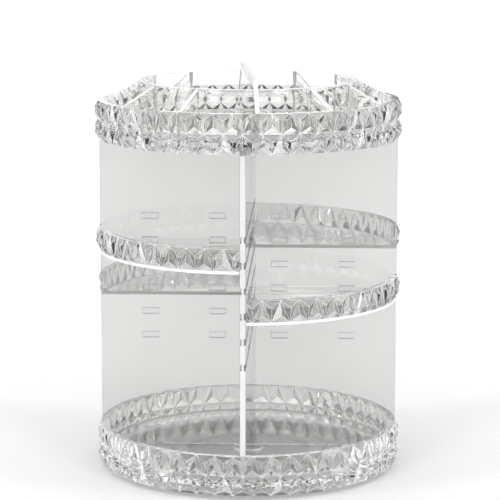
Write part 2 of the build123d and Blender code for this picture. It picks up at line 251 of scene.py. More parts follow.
class Skin:
    """Patches of one closed surface, kept as arrays and joined where their edges meet."""

    def __init__(self):
        self.points = []
        self.faces = []
        self.finishes = []
        self.count = 0

    def add(self, points, faces, finish=CLEAR):
        """Adds points, and faces by point number; finish is one for all faces or one for each."""
        points = np.asarray(points, float).reshape(-1, 3)
        self.points.append(points)
        self.faces += [[int(i) + self.count for i in face] for face in faces]
        self.finishes += np.broadcast_to(finish, len(faces)).tolist()
        self.count += len(points)

    def flat(self, points, finish=CLEAR):
        """Adds one flat face with the points as its outline."""
        self.add(points, [range(len(points))], finish)

    def turn(self, radii, heights, bearing=round_bearing, centre=(0, 0), closed=False, finish=CLEAR):
        """A profile of radii and heights carried round an upright axis; radius zero closes to a point."""
        radii = np.asarray(radii, float)
        around = len(bearing)
        heights = np.asarray(heights, float).reshape(len(radii), -1)
        heights = np.broadcast_to(heights, (len(radii), around))
        grid = polar(radii[:, None], bearing[None, :], heights) + np.array([*centre, 0])
        wall = np.flatnonzero(radii)
        if len(wall) > 1:
            self.add(grid[wall], quads(len(wall), around, closed, True), finish)
        for pole, edge in ((0, 1), (-1, -2)):
            if radii[pole] == 0:
                fan = [(k, (k + 1) % around, around) for k in range(around)]
                self.add(np.concatenate([grid[edge], grid[pole][:1]]), fan, finish)

    def make(self, name, node, body, finishes, rounding=0.0, crease=20.0, turned=0.0, edge=BRIGHT):
        """Joins the patches, turns them about the axis and puts the piece in its CAD node's place."""
        c, s = math.cos(turned), math.sin(turned)
        points = np.concatenate(self.points) @ np.array([[c, s, 0], [-s, c, 0], [0, 0, 1]])
        mesh = bpy.data.meshes.new(name)
        mesh.from_pydata(points.tolist(), [], self.faces)
        mesh.polygons.foreach_set("material_index", self.finishes)
        joined = bmesh.new()
        joined.from_mesh(mesh)
        bmesh.ops.remove_doubles(joined, verts=joined.verts, dist=merge_distance)
        loose = [point for point in joined.verts if not point.link_faces]
        bmesh.ops.delete(joined, geom=loose, context="VERTS")
        bmesh.ops.recalc_face_normals(joined, faces=joined.faces)
        joined.to_mesh(mesh)
        joined.free()
        for material in finishes:
            mesh.materials.append(material)
        mesh.polygons.foreach_set("use_smooth", np.ones(len(mesh.polygons), bool))
        mesh.set_sharp_from_angle(angle=math.radians(crease))
        piece = bpy.data.objects.new(name, mesh)
        scene.collection.objects.link(piece)
        if rounding:
            bevel = piece.modifiers.new("soft edges", "BEVEL")
            bevel.width = rounding
            bevel.segments = 2
            bevel.limit_method = "ANGLE"
            bevel.angle_limit = math.radians(crease)
            bevel.harden_normals = True
            # The rounded edges take finish number edge, white frosted unless told otherwise: painted
            # highlight lines along the softened edges
            bevel.material = edge
        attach(piece, body)
        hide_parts(node)
        return piece


def principled(name, colour, **sockets):
    """A material with plain values on the shader's own sockets."""
    material = bpy.data.materials.new(name)
    material.use_nodes = True
    shader = material.node_tree.nodes["Principled BSDF"]
    for socket, value in {"Base Color": (*colour, 1), **sockets}.items():
        shader.inputs[socket].default_value = value
    return material


def acrylic(name, colour, through):
    """Acrylic that lets that share of the light through and scatters the rest."""
    return principled(name, colour, IOR=1.49, **{"Transmission Weight": through})


def grain(material, scale, rough_low, rough_high, bump_depth):
    """Clouds in the object's own space that vary the roughness and lift the surface a little."""
    tree = material.node_tree
    shader = tree.nodes["Principled BSDF"]
    shader.inputs["Roughness"].default_value = (rough_low + rough_high) / 2
    place = tree.nodes.new("ShaderNodeTexCoord")
    clouds = tree.nodes.new("ShaderNodeTexNoise")
    clouds.inputs["Scale"].default_value = scale
    clouds.inputs["Detail"].default_value = 3.0
    # Nearly all of the clouds' values lie between these two
    spread = tree.nodes.new("ShaderNodeMapRange")
    spread.inputs["From Min"].default_value = 0.3
    spread.inputs["From Max"].default_value = 0.7
    spread.inputs["To Min"].default_value = rough_low
    spread.inputs["To Max"].default_value = rough_high
    bump = tree.nodes.new("ShaderNodeBump")
    bump.inputs["Strength"].default_value = 1.0
    bump.inputs["Distance"].default_value = bump_depth
    tree.links.new(place.outputs["Object"], clouds.inputs["Vector"])
    tree.links.new(clouds.outputs["Fac"], spread.inputs["Value"])
    tree.links.new(spread.outputs["Result"], shader.inputs["Roughness"])
    tree.links.new(clouds.outputs["Fac"], bump.inputs["Height"])
    tree.links.new(bump.outputs["Normal"], shader.inputs["Normal"])
    return material


# Finishes: after each shader, the grain's scale, its lowest and highest roughness, and its bump depth
polish, turning, frost, matt = 0.004 * MM, 0.01 * MM, 0.02 * MM, 0.05 * MM
moulded_clear = grain(acrylic("moulded clear acrylic", (0.975, 0.975, 0.97), 1.0), 40.0, 0.0, 0.012, polish)
# The facets are the walls' own moulded acrylic, tinted darker as painted shade
shaded_facet_acrylic = grain(acrylic("moulded facets darkened as painted shade", (0.6, 0.6, 0.595), 1.0), 40.0, 0.02, 0.035, polish)
# The base tray's facets are tinted lighter than the others as painted light, against the shade inside the
# base
lit_base_facet_acrylic = grain(acrylic("moulded base facets lightened as painted light", (0.95, 0.95, 0.945), 1.0), 40.0, 0.02, 0.035, polish)
# White frosted acrylic on the moulded pieces' edges, joints, bead tops and bands: painted highlights
painted_highlight_acrylic = grain(acrylic("painted highlight edge", (0.96, 0.96, 0.955), 0.3), 900.0, 0.4, 0.55, frost)
sheet_clear = grain(acrylic("cut clear sheet", (0.76, 0.757, 0.749), 0.82), 25.0, 0.0, 0.01, polish)
sheet_edge = grain(acrylic("cut sheet edge", (0.79, 0.79, 0.785), 0.3), 900.0, 0.4, 0.55, frost)
foot_plastic = grain(acrylic("frosted foot plastic", (0.96, 0.96, 0.955), 0.25), 1200.0, 0.38, 0.5, frost)
race_plastic = grain(principled("bearing plastic", (0.93, 0.93, 0.92)), 700.0, 0.32, 0.5, frost)
steel = grain(principled("turned steel", (0.62, 0.62, 0.63), Metallic=1.0), 1500.0, 0.18, 0.34, turning)
rubber = grain(principled("soft rubber", (0.06, 0.06, 0.06)), 2500.0, 0.7, 0.9, matt)
# Moulded pieces' finishes by number: clear, white frosted painted highlight, and facets darkened as painted
# shade; the base tray's facets are lightened instead, as painted light
moulded_finishes = [moulded_clear, painted_highlight_acrylic, shaded_facet_acrylic]
lit_base_finishes = [moulded_clear, painted_highlight_acrylic, lit_base_facet_acrylic]
sheet_finishes = [sheet_clear, sheet_edge]


def lattice(height, shift):
    """The ring of facet corners at one height, shifted round by a part of a facet."""
    return polar(lattice_radius, (np.arange(facet_count) + shift) * facet_step, height)


def facet_row(skin, low, high, low_shift):
    """Two lattice rings half a facet apart. Over the middle of each triangle between them lies a point,
    at the tip radius, and three faces run up to it."""
    corners = np.concatenate([lattice(low, low_shift), lattice(high, 0.5 - low_shift)])
    here = np.arange(facet_count)
    before, after = (here - 1) % facet_count, (here + 1) % facet_count
    above = facet_count + here
    if low_shift:
        standing = [before, here, above]
        hanging = [facet_count + after, above, here]
    else:
        standing = [here, after, above]
        hanging = [above, facet_count + before, here]
    triangles = np.concatenate([np.stack(standing, -1), np.stack(hanging, -1)])
    middle = corners[triangles].mean(1)
    tips = polar(tip_radius, np.arctan2(middle[:, 0], -middle[:, 1]), middle[:, 2])
    tip = len(corners) + np.arange(len(triangles))
    first, second, third = triangles.T
    sides = ((first, second), (second, third), (third, first))
    faces = np.concatenate([np.stack([start, stop, tip], -1) for start, stop in sides])
    skin.add(np.concatenate([corners, tips]), faces, FACETED)


def rim_edge(skin, height, bearing):
    """The flat edge of a rim: triangles from its lattice corners in to the columns of the round wall."""
    points = np.concatenate([lattice(height, 0.5), polar(rim_inner, bearing, height)])
    here = np.arange(facet_count)
    after = (here + 1) % facet_count
    half = columns_per_facet // 2
    columns = columns_per_facet * here[:, None] + half + np.arange(columns_per_facet + 1)
    inner = facet_count + columns % round_count
    near = [np.stack([here, inner[:, i], inner[:, i + 1]], -1) for i in range(half)]
    far = [np.stack([after, inner[:, i], inner[:, i + 1]], -1) for i in range(half, columns_per_facet)]
    skin.add(points, np.concatenate([*near, *far, np.stack([here, inner[:, half], after], -1)]))


def tray_rim(skin, low, high, bearing):
    """A rim's two rows of facets and its two flat edges."""
    middle = (low + high) / 2
    facet_row(skin, low, middle, 0.5)
    facet_row(skin, middle, high, 0)
    rim_edge(skin, low, bearing)
    rim_edge(skin, high, bearing)


def make_top_tray():
    """Top tray: rim, and a plain floor above the skirt, with a white frosted band where it meets the wall as
    a painted highlight line.
    """
    skin = Skin()
    tray_rim(skin, top_low, top_high, round_bearing)
    line_top = top_floor_top + painted_highlight_band
    line_inner = rim_inner - painted_highlight_band
    skin.turn([rim_inner, rim_inner, 0], [top_low, top_floor_low, top_floor_low])
    skin.turn([rim_inner, rim_inner], [top_high, line_top])
    # White frosted band along the foot of the wall: a painted highlight line
    skin.turn([rim_inner, line_inner], [line_top, top_floor_top], finish=BRIGHT)
    skin.turn([line_inner, 0], [top_floor_top, top_floor_top])
    skin.make("clear_top_tray", "top_tray", "top", moulded_finishes, facet_round)


def make_base_tray():
    """Base tray: rim, floor with the cross-shaped seat of the dividers, and the pivot boss underneath."""
    skin = Skin()
    quarter = round_count // 4
    axes = np.arange(4) * quarter

    def seat_columns(radius):
        """Bearings of the columns; those beside an axis lie on the sides of the seat at that radius."""
        bearing = round_bearing.copy()
        aside = math.asin(seat_half / radius)
        bearing[axes + 1] = bearing[axes] + aside
        bearing[axes - 1] = bearing[axes] - aside
        return bearing

    bearing = seat_columns(rim_inner)
    tray_rim(skin, base_low, base_high, bearing)
    skin.turn([rim_inner, rim_inner, boss_radius, boss_radius, 0],
              [base_low, base_floor_low, base_floor_low, boss_low, boss_low], bearing)
    line_top = base_floor_top + painted_highlight_band
    line_inner = rim_inner - painted_highlight_band
    skin.turn([rim_inner, rim_inner], [base_high, line_top], bearing)
    wall = polar(rim_inner, bearing, line_top)
    line = polar(line_inner, seat_columns(line_inner), base_floor_top)
    for axis in axes:
        ahead = polar(seat_half, bearing[axis], base_floor_top)
        aside = polar(seat_half, bearing[axis] + math.pi / 2, 0)
        # One quarter of the floor, a fan from the cross's inner corner to the white frosted band along the
        # wall, a painted highlight line
        span = axis + 1 + np.arange(quarter - 1)
        skin.add([wall[span], line[span]], quads(2, quarter - 1), BRIGHT)
        skin.add([*line[span], ahead + aside], [(k, k + 1, quarter - 1) for k in range(quarter - 2)])
        # One arm of the seat: its end at the wall, its two sides and its floor
        end = wall[axis + np.array([-1, 0, 1])]
        foot = at_height(end, seat_floor)
        skin.add([end, foot], quads(2, 3))
        inner = []
        for side in (-1, 1):
            corner = ahead + side * aside
            inner.append(at_height(corner, seat_floor))
            skin.flat([corner, line[axis + side], wall[axis + side], foot[1 + side], inner[-1]])
        skin.flat([inner[0], *foot, inner[1]])
    square = np.array([[-1, -1], [1, -1], [1, 1], [-1, 1]]) * seat_half
    skin.flat(np.insert(square, 2, seat_floor, 1))
    skin.make("clear_base_tray", "base_tray", "carousel", lit_base_finishes, facet_round)


def cut_sheet(name, node, along, up, filled, turned):
    """A flat sheet on a grid of blocks: a face where a filled block meets an empty one, with bright ends."""
    skin = Skin()
    groove_floor = divider_half - groove_depth
    across = np.array([-divider_half, -groove_floor, groove_floor, divider_half])
    corners = np.stack(np.meshgrid(along, across, up, indexing="ij"), -1)
    padded = np.pad(filled, 1).astype(int)
    for axis in range(3):
        keep = [slice(1, -1)] * 3
        keep[axis] = slice(None)
        start = np.argwhere(np.diff(padded, axis=axis)[tuple(keep)])
        first, second = np.delete(np.eye(3, dtype=int), axis, 0)
        square = np.stack([start, start + first, start + first + second, start + second], 1)
        numbers = np.ravel_multi_index(np.moveaxis(square, -1, 0), corners.shape[:3])
        used, faces = np.unique(numbers, return_inverse=True)
        at_end = (axis == 0) & (np.abs(along[start[:, 0]]) >= divider_narrow)
        skin.add(corners.reshape(-1, 3)[used], faces.reshape(-1, 4), np.where(at_end, BRIGHT, CLEAR))
    skin.make(name, node, "carousel", sheet_finishes, divider_round,
              turned=turned, edge=CLEAR)


def make_dividers():
    """Two sheets of one outline, lapped at the middle: one with long grooves, the other with pockets."""
    steps = [divider_low, step_low, divider_middle, step_high, divider_top]
    up = np.unique(np.concatenate([steps, groove_lows, groove_highs]))
    height = (up[1:] + up[:-1]) / 2
    in_groove = ((height[:, None] > groove_lows) & (height[:, None] < groove_highs)).any(1)
    wide = (height > step_low) & (height < step_high)
    on_face = np.array([True, False, True])[:, None]

    def blocks(ends):
        """The cuts along a sheet, its blocks' distances from the axis, and which blocks its outline holds."""
        along = np.concatenate([-ends[::-1], ends])
        distance = np.abs(along[1:] + along[:-1])[:, None] / 2
        return along, distance, (distance < divider_narrow) | wide

    ends = np.array([lap_half, divider_narrow, divider_reach])
    along, distance, outline = blocks(ends)
    lapped = outline & ~((distance < lap_half) & (height > divider_middle))
    filled = lapped[:, None, :] & ~(on_face & in_groove)
    cut_sheet("front_rear_sheet", "front_rear_divider", along, up, filled, math.pi / 2)

    ends = np.unique(np.concatenate([ends, tab_places - pocket_half, tab_places + pocket_half]))
    along, distance, outline = blocks(ends)
    lapped = outline & ~((distance < lap_half) & (height < divider_middle))
    in_pocket = (np.abs(distance - tab_places) < pocket_half).any(1)
    filled = lapped[:, None, :] & ~(in_pocket[:, None, None] & on_face & in_groove)
    cut_sheet("left_right_sheet", "left_right_divider", along, up, filled, 0)


def make_shelf(place, level, turned):
    """Quarter tray between +X and +Y, turned to its corner: a facet row over a plain band, lip and tabs."""
    skin = Skin()
    columns = facet_count // 2 - 1
    step = np.arange(1, columns + 1)
    bearing = step * facet_step / 2
    whole = step % 2 == 0
    chord = lattice_radius * math.cos(facet_step / 2)
    band_top = level + shelf_band
    rim_top = band_top + shelf_facet_row
    floor_top = level + shelf_floor
    lip_top = level + lip_height
    lip_inner = shelf_edge + lip_width
    tab_low = level + tab_rise
    tab_end = shelf_edge - tab_length

    def from_x(radius, angle, height):
        """Points from radius, angle from +X towards +Y, and height, spread over one another."""
        radius, angle, height = np.broadcast_arrays(radius, angle, height)
        return np.stack([radius * np.cos(angle), radius * np.sin(angle), height], -1)

    def both_ends(points, faces, finish=CLEAR):
        """Adds a patch at the end beside +X, and the same patch mirrored to the end beside +Y."""
        points = np.asarray(points, float).reshape(-1, 3)
        skin.add(points, faces, finish)
        skin.add(points[:, [1, 0, 2]], faces, finish)

    # Rows of the outer face: bottom, top of the band, points, top of the rim
    low_radius = np.where(whole, chord, lattice_radius)
    high_radius = np.where(whole, lattice_radius, chord)
    tip_height = band_top + shelf_facet_row * np.where(whole, 1, 2) / 3
    rows = np.stack([from_x(low_radius, bearing, level), from_x(low_radius, bearing, band_top),
                     from_x(tip_radius, bearing, tip_height), from_x(high_radius, bearing, rim_top)])
    # The plain band under the facets is white frosted: a painted highlight
    skin.add(rows[:2], quads(2, columns), BRIGHT)
    low, tip, top = columns * np.arange(3)[:, None] + np.arange(columns - 1)
    odd = [(low, low + 1, tip + 1), (low, tip + 1, top + 1), (low, top + 1, tip), (tip, top + 1, top)]
    even = [(low, low + 1, tip), (tip, low + 1, top), (top, low + 1, tip + 1), (top, tip + 1, top + 1)]
    facets = [np.stack(face, -1)[~whole[:-1]] for face in odd]
    facets += [np.stack(face, -1)[whole[:-1]] for face in even]
    skin.add(rows[1:], np.concatenate(facets), FACETED)

    # Where the shelf's straight side cuts the facets: from a column on the axis to the first column
    first = rows[:, 0]
    axis_tip = [tip_radius, 0, band_top + shelf_facet_row / 3]
    axis_top = [lattice_radius, 0, rim_top]
    start = np.array([[chord, 0, level], [chord, 0, band_top], axis_tip, axis_top, axis_top, axis_top])
    stop = first[[0, 1, 1, 1, 2, 3]]
    cut = start + (stop - start) * (shelf_edge / stop[:, 1:2])
    # The band's cut end is white frosted too: a painted highlight
    both_ends([*cut, *first], [(0, 6, 7, 1)], BRIGHT)
    both_ends([*cut, *first], [(1, 7, 2), (2, 7, 3), (3, 7, 8, 4), (4, 8, 9, 5)], FACETED)

    # Top of the rim and the round inner wall down to the lip and to the floor
    edge_bearing = math.asin(shelf_edge / rim_inner)
    lip_bearing = math.asin(lip_inner / rim_inner)
    pocket = np.concatenate([[lip_bearing], bearing, [math.pi / 2 - lip_bearing]])
    wall = np.concatenate([[edge_bearing], pocket, [math.pi / 2 - edge_bearing]])
    skin.add([rows[3], from_x(rim_inner, bearing, rim_top)], quads(2, columns))
    both_ends([cut[5], first[3], *from_x(rim_inner, wall[[2, 1, 0]], rim_top)], [range(5)])
    for angles, high_edge, low_edge in ((wall, rim_top, lip_top), (pocket, lip_top, floor_top)):
        band = [from_x(rim_inner, angles, edge) for edge in (high_edge, low_edge)]
        skin.add(band, quads(2, len(angles)))

    # Straight sides with the tabs, whose tops run into the lip's
    tab_x = np.array([tab_places + tab_half, tab_places - tab_half]).T[::-1].ravel()
    notch = np.stack([np.repeat(tab_x, 2), np.tile([lip_top, tab_low, tab_low, lip_top], 2)], -1)
    wall_x = rim_inner * math.cos(edge_bearing)
    side = np.array([[shelf_edge, band_top], *cut[1:, [0, 2]], [wall_x, rim_top], [wall_x, lip_top], *notch,
                     [shelf_edge, lip_top]])
    both_ends(np.insert(side, 1, shelf_edge, 1), [range(len(side))])
    # The straight side's lowest band is white frosted: a painted highlight along the bottom edge
    both_ends([[shelf_edge, shelf_edge, level], cut[0], cut[1], [shelf_edge, shelf_edge, band_top]],
              [range(4)], BRIGHT)
    for middle in tab_places:
        x = middle + tab_half * np.array([-1, 1, 1, -1])
        y = np.array([shelf_edge, shelf_edge, tab_end, tab_end])
        tab = np.array([np.stack([x, y, np.full(4, height)], -1) for height in (tab_low, lip_top)])
        both_ends(tab, [(0, 1, 2, 3), (1, 2, 6, 5), (2, 3, 7, 6), (3, 0, 4, 7)])

    # Top of the lip with the tabs' tops, the lip's inner faces, and the two faces of the floor
    x = np.repeat(tab_x[::-1], 2)
    y = np.tile([shelf_edge, tab_end, tab_end, shelf_edge], 2)
    pocket_x = rim_inner * math.cos(lip_bearing)
    along = np.array([*np.stack([x, y], -1), [wall_x, shelf_edge], [pocket_x, lip_inner]])
    lip = np.array([[shelf_edge, shelf_edge], *along, [lip_inner, lip_inner], *along[::-1, ::-1]])
    skin.flat(np.insert(lip, 2, lip_top, 1))
    corner = [lip_inner, lip_inner]
    both_ends([[*corner, floor_top], [pocket_x, lip_inner, floor_top], [pocket_x, lip_inner, lip_top],
               [*corner, lip_top]], [range(4)])
    skin.flat([[*corner, floor_top], *from_x(rim_inner, pocket, floor_top)])
    skin.flat([[shelf_edge, shelf_edge, level], cut[0], *rows[0], cut[0][[1, 0, 2]]])
    skin.make(f"clear_shelf_{place}", f"shelf_{place}", f"{place}_shelf",
              moulded_finishes, facet_round, turned=turned)


# The bead along a wall's top, one side from the ledge up: distance from the middle, and drop below the top
bead_turn = np.linspace(0, math.pi / 2, 5)
bead_side = np.array([insert_half, bead_half, *(bead_half - bead_round + bead_round * np.cos(bead_turn))])
bead_drop = np.array([bead_height, bead_height, *(bead_round - bead_round * np.sin(bead_turn))])
# The ledge and the rounded top are white frosted as painted highlights, the bead's upright side stays clear
bead_finish = np.array([BRIGHT, CLEAR, *[BRIGHT] * (len(bead_turn) - 1)])


def beaded_wall(plain_rows):
    """Outline of a wall with its bead, up one side and down the other, with plain rows below the bead.

    It gives each row's distance aside and drop below the top, and the finish between it and the next row."""
    aside = np.concatenate([[insert_half] * plain_rows, bead_side])
    drop = np.concatenate([[0] * plain_rows, bead_drop])
    finish = np.concatenate([[CLEAR] * plain_rows, bead_finish])
    return (np.concatenate([aside, -aside[::-1]]), np.concatenate([drop, drop[::-1]]),
            np.concatenate([finish, [BRIGHT], finish[::-1]]))


def along_wall(bearing, distance, aside, height):
    """Points by distance from the axis along a bearing, distance aside of it, and height."""
    c, s = math.cos(bearing), math.sin(bearing)
    distance, aside, height = np.broadcast_arrays(distance, aside, height)
    return np.stack([distance * s + aside * c, -distance * c + aside * s, height], -1)


def make_fins():
    """Fins from ring to rim: a wall with the bead, its top falling evenly with the distance from the axis."""
    skin = Skin()
    aside, drop, finish = beaded_wall(1)
    count = len(aside)
    row = np.minimum(np.arange(count), np.arange(count)[::-1])
    ring_end = np.where(row < 2, insert_half, bead_half) + ring_radius + contact
    reach = np.stack([ring_end, np.full(count, rim_inner - contact)], -1)
    distance = np.sqrt(reach ** 2 - aside[:, None] ** 2)
    fall = (ring_high - top_high) / compartment_depth
    height = ring_high - (distance - ring_radius) * fall - drop[:, None]
    height[row == 0] = insert_low
    wall_end, bead_end = [0, 1, count - 2, count - 1], range(1, count - 1)
    for bearing in np.delete(spaced(compartment_count, insert_bearing), [0, compartment_count // 2]):
        grid = along_wall(bearing, distance, aside[:, None], height)
        skin.add(grid, quads(count, 2, True), [*finish, CLEAR])
        # Both ends of each fin are white frosted: painted highlights
        for end in (0, 1):
            skin.add(grid[:, end], [wall_end, bead_end], BRIGHT)
    skin.make("clear_fins", "radial_fins", "top", moulded_finishes)


def make_centre_wall():
    """Wall from rim to rim with the bead: level inside the ring, falling outside it, notched over it."""
    skin = Skin()
    aside, drop, finish = beaded_wall(2)
    finish = np.append(finish, CLEAR)
    count = len(aside)
    notch = insert_half + insert_lap_gap
    stations = np.array([ring_radius - notch, ring_radius, ring_radius + notch, rim_inner - contact])
    stations = np.concatenate([-stations[::-1], stations])
    at_rim = np.abs(stations) == stations[-1]
    rim_distance = np.sign(stations) * np.sqrt(stations ** 2 - aside[:, None] ** 2)
    distance = np.where(at_rim, rim_distance, stations)
    fall = (centre_high - top_high) / compartment_depth
    top = centre_high - np.maximum(np.abs(distance) - ring_radius, 0) * fall
    height = top - drop[:, None]
    height[[0, -1]] = insert_low
    height[[1, -2]] = np.where(at_rim, (insert_low + height[2]) / 2, insert_lap)
    grid = along_wall(insert_bearing, distance, aside[:, None], height)
    faces = quads(count, len(stations), True)
    row, cell = np.divmod(np.arange(len(faces)), len(stations) - 1)
    gap = np.isin(row, [0, count - 2, count - 1]) & np.isin(cell, [1, 2, 4, 5])
    skin.add(grid, faces[~gap], finish[row[~gap]])
    for start, stop in ((1, 3), (4, 6)):
        roof = grid[[1, -2]][:, start:stop + 1]
        skin.add(roof, quads(2, stop - start + 1))
        for station in (start, stop):
            skin.flat(grid[[0, 1, -2, -1], station])
    wall_end, bead_end = [0, 1, 2, count - 3, count - 2, count - 1], range(2, count - 2)
    # Both ends of the wall are white frosted: painted highlights
    for end in (0, -1):
        skin.add(grid[:, end], [wall_end, bead_end], BRIGHT)
    skin.make("clear_centre_wall", "centre_wall", "top", moulded_finishes)


def make_ring():
    """Round wall with the bead: a whole ring below the lap, and two arcs above it between the notches."""
    skin = Skin()
    notch_half = bead_half + insert_lap_gap
    arc_columns = round_count // 2
    aside, drop, finish = beaded_wall(1)
    radii = ring_radius + aside
    heights = ring_high - drop
    heights[[0, -1]] = insert_lap
    # Bearings of both arcs' columns, for each radius from one notch's flat side to the other's
    start = np.arcsin(notch_half / radii)[:, None]
    u = np.linspace(0, 1, arc_columns)
    arcs = [insert_bearing + half * math.pi + start + (math.pi - 2 * start) * u for half in (0, 1)]
    grids = [polar(radii[:, None], bearing, heights[:, None]) for bearing in arcs]
    for grid in grids:
        skin.add(grid, quads(len(radii), arc_columns), np.repeat(finish, arc_columns - 1))
        for end in (0, -1):
            skin.flat(grid[:, end])
    for here, after in (grids, grids[::-1]):
        skin.flat([here[0, -1], after[0, 0], after[-1, 0], here[-1, -1]])
    wall = [0, 0, -1, -1]
    around = np.concatenate([bearing[wall] for bearing in arcs], 1)
    low = np.array([insert_lap, insert_low, insert_low, insert_lap])[:, None]
    skin.add(polar(radii[wall][:, None], around, low), quads(4, 2 * arc_columns, False, True))
    skin.make("clear_ring_wall", "ring_wall", "top", moulded_finishes)


def holed_ring(skin, inner, outer, height, track, hole, count, start):
    """Flat ring with round holes: straight lines from the outline of each hole's sector to the hole's circle.

    It gives the circles."""
    columns = foot_columns // count
    part = np.arange(columns + 1) / columns - 0.5
    side = np.linspace(outer, inner, 5)[1:-1]
    side_part = np.full(len(side), 0.5)
    radius = np.concatenate([np.full(len(part), outer), side, np.full(len(part), inner), side[::-1]])
    turn = np.concatenate([part, side_part, part[::-1], -side_part]) * FULL_TURN / count
    circles = []
    for middle in spaced(count, start):
        outline = polar(radius, middle + turn, height)
        centre = polar(track, middle, height)
        spokes = outline - centre
        circles.append(centre + hole * spokes / np.linalg.norm(spokes, axis=1, keepdims=True))
        between(skin, outline, circles[-1])
    return circles


def between(skin, first, second):
    """The surface of straight lines between two closed outlines with the same number of points."""
    skin.add([first, second], quads(2, len(first), False, True))


def ball_groove(face):
    """Outline of a race's groove from outer edge to inner: a circle about the balls, cut by the face."""
    rise = face - ball_height
    turn = np.linspace(1, -1, groove_points) * math.acos(abs(rise) / race_groove)
    radii = ball_track + race_groove * np.sin(turn)
    return np.stack([radii, ball_height + np.sign(rise) * race_groove * np.cos(turn)], -1)


def make_foot_plate():
    """Disc and hub turned from one softened outline; under its rim, a ring with the pads' pockets."""
    skin = Skin()
    outline = [(foot_field, foot_low), (washer_well_radius, foot_low), (washer_well_radius, washer_well_top),
               (pivot_bore, washer_well_top), (pivot_bore, hub_top), (hub_radius, hub_top),
               (hub_radius, foot_top), (lower_race_inner, foot_top), (lower_race_inner, lower_race_low),
               (lower_race_outer, lower_race_low), (lower_race_outer, foot_top), (foot_radius, foot_top),
               (foot_radius, foot_low)]
    soft = np.full(len(outline), foot_soft)
    soft[0] = 0
    skin.turn(*softened(outline, soft).T, foot_bearing)
    rim = foot_radius - foot_soft
    for circle in holed_ring(skin, foot_field, rim, foot_low, pad_track, pad_radius, pad_count, pad_start):
        roof = circle + [0, 0, pad_sink]
        between(skin, circle, roof)
        skin.flat(roof)
    skin.make("foot_disc", "foot_plate", "foot", [foot_plastic], crease=foot_crease)


def make_pads():
    """Rubber pads turned from one outline: soft corners, and two round treads in the underside."""
    skin = Skin()
    outer = pad_radius - contact
    top = foot_low + pad_sink - contact
    radii = np.array([0, outer, outer, *tread_edges, 0])
    heights = np.array([top, top, 0, *np.tile([0, tread_depth, tread_depth, 0], 2), 0])
    soft = np.array([0, pad_top_soft, pad_foot_soft, *np.full(len(tread_edges), tread_soft), 0])
    # The two ends on the axis stay single points
    profile = softened(np.stack([radii, heights], -1), soft)[corner_steps:-corner_steps]
    for place in track_places(pad_track, pad_count, pad_start):
        skin.turn(*profile.T, foot_bearing[::2], place)
    skin.make("rubber_pads", "anti_slip_pads", "foot", [rubber], crease=foot_crease)


def make_ring_piece(name, node, body, material, outline, soft):
    """A ring turned from one closed outline of radius and height with soft corners."""
    skin = Skin()
    skin.turn(*softened(outline, soft).T, foot_bearing, closed=True)
    skin.make(name, node, body, [material], crease=foot_crease)


def make_lower_race():
    """Ring let into the foot disc, with the ball groove in its top."""
    groove = ball_groove(foot_top)
    inner, outer, low = lower_race_inner + contact, lower_race_outer - contact, lower_race_low + contact
    outline = [(inner, low), (outer, low), (outer, foot_top), *groove, (inner, foot_top)]
    soft = np.array([*[foot_soft] * 3, *[0] * len(groove), foot_soft])
    make_ring_piece("lower_ball_race", "lower_race", "foot", race_plastic, outline, soft)


def make_upper_race():
    """Ring with the ball groove in its underside, sunk round the screw heads and bored for their shanks."""
    skin = Skin()
    field, low, high = upper_race_field, upper_race_low, upper_race_high - contact
    groove = ball_groove(low)
    outline = [(field, low), *groove, (upper_race_inner, low), (upper_race_inner, high), (field, high),
               (upper_race_outer, high), (upper_race_outer, low)]
    soft = np.full(len(outline), foot_soft)
    soft[:len(groove) + 1] = 0
    soft[-3] = 0
    profile = softened(outline, soft).reshape(len(outline), -1, 2)
    for part in (profile[:-2], profile[-2:]):
        skin.turn(*part.reshape(-1, 2).T, foot_bearing)
    rim = upper_race_outer - foot_soft
    places = race_screw_count, race_screw_start
    heads, shanks = (holed_ring(skin, field, rim, height, race_screw_track, bore, *places)
                     for height, bore in ((low, head_bore), (high, shank_bore)))
    for head, shank in zip(heads, shanks):
        seat_rim, seat_bore = (at_height(circle, race_screw_seat) for circle in (head, shank))
        between(skin, head, seat_rim)
        between(skin, seat_rim, seat_bore)
        between(skin, seat_bore, shank)
    skin.make("upper_ball_race", "upper_race", "carousel", [race_plastic],
              crease=foot_crease)


def make_cage():
    """Flat ring with soft edges and a round hole for each ball."""
    skin = Skin()
    low, high = heights_of("ball_cage")
    outline = [(cage_inner, low), (cage_outer, low), (cage_outer, high), (cage_inner, high)]
    profile = softened(outline, foot_soft).reshape(len(outline), -1, 2)
    for edge in ([1, 2], [3, 0]):
        skin.turn(*profile[edge].reshape(-1, 2).T, foot_bearing)
    inner, outer = cage_inner + foot_soft, cage_outer - foot_soft
    faces = [holed_ring(skin, inner, outer, height, ball_track, cage_hole, ball_count, 0)
             for height in (low, high)]
    for below, above in zip(*faces):
        between(skin, below, above)
    skin.make("ball_keeper", "ball_cage", "bearing", [race_plastic], crease=foot_crease)


def make_balls():
    """Steel balls: circles of latitude round an upright axis at each ball's place."""
    skin = Skin()
    turn = np.linspace(0, math.pi, ball_rows)
    radii = ball_radius * np.sin(turn)
    radii[[0, -1]] = 0
    heights = ball_height + ball_radius * np.cos(turn)
    for place in track_places(ball_track, ball_count):
        skin.turn(radii, heights, foot_bearing[::4], place)
    skin.make("steel_balls", "bearing_balls", "bearing", [steel], crease=foot_crease)


